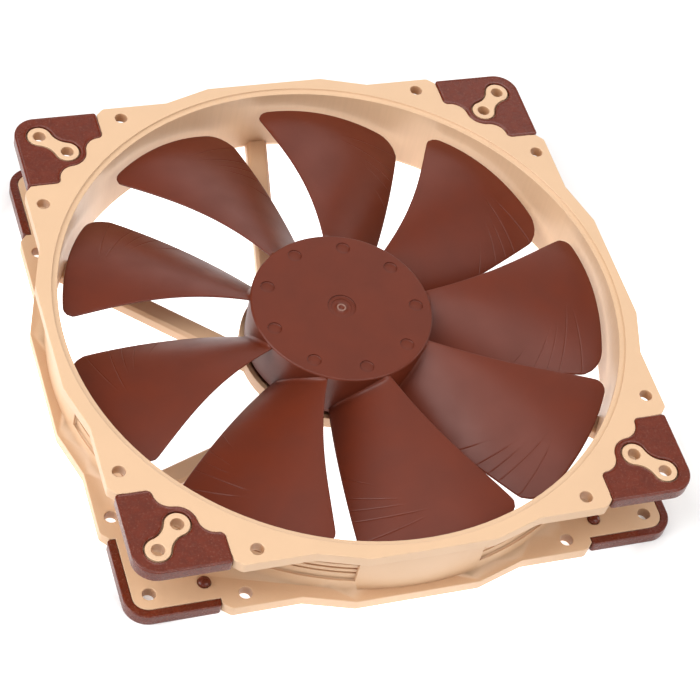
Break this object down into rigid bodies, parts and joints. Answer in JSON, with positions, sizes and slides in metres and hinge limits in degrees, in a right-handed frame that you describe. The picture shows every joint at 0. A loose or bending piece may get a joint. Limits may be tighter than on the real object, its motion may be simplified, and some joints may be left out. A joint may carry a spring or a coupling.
{
  "type": "case fan",
  "caption": "Large square axial case fan: beige frame with swept struts, brown bladed impeller on a brushless motor, soft pads on the corners.",
  "frame": {"origin": "centre of the rear face on the spin axis, level with the rear pads' outer faces", "axes": "+Z along the spin axis towards the inlet and the hub cap; +X and +Y parallel to the frame's sides"},
  "size_m": [0.2, 0.2, 0.03],
  "materials": {
    "frame_plastic": "satin moulded plastic, warm beige",
    "impeller_plastic": "satin moulded plastic, red brown",
    "pad_rubber": "soft satin silicone, red brown",
    "steel": "bright",
    "magnet": "bonded ferrite, matt",
    "brass": "turned",
    "bronze": "sintered, oiled",
    "nylon": "natural nylon",
    "seal_rubber": "matt",
    "lamination": "stamped",
    "winding": "enamelled copper wire",
    "board": "solder resist",
    "chip": "moulded epoxy",
    "can": "drawn can",
    "label": "plain blank foil"
  },
  "bodies": {
    "root": {"frame": "frame_plastic", "front_pad_1": "pad_rubber", "front_pad_2": "pad_rubber", "front_pad_3": "pad_rubber", "front_pad_4": "pad_rubber", "rear_pad_1": "pad_rubber", "rear_pad_2": "pad_rubber", "rear_pad_3": "pad_rubber", "rear_pad_4": "pad_rubber", "bearing_tube": "brass", "bearing_bush": "bronze", "oil_seal": "seal_rubber", "thrust_pad": "nylon", "stator_core": "lamination", "upper_insulator": "nylon", "lower_insulator": "nylon", "coil_1": "winding", "coil_2": "winding", "coil_3": "winding", "coil_4": "winding", "circuit_board": "board", "driver_chip": "chip", "hall_sensor": "chip", "capacitor": "can", "rear_label": "label"},
    "rotor": {"impeller": "impeller_plastic", "rotor_yoke": "steel", "rotor_magnet": "magnet", "rotor_shaft": "steel", "shaft_boss": "brass", "retaining_clip": "nylon"}
  },
  "joints": [
    {"name": "impeller_spin", "type": "hinge", "parent": "root", "child": "rotor", "pos_m": [0, 0, 0.015], "axis": [0, 0, 1], "continuous": true}
  ]
}
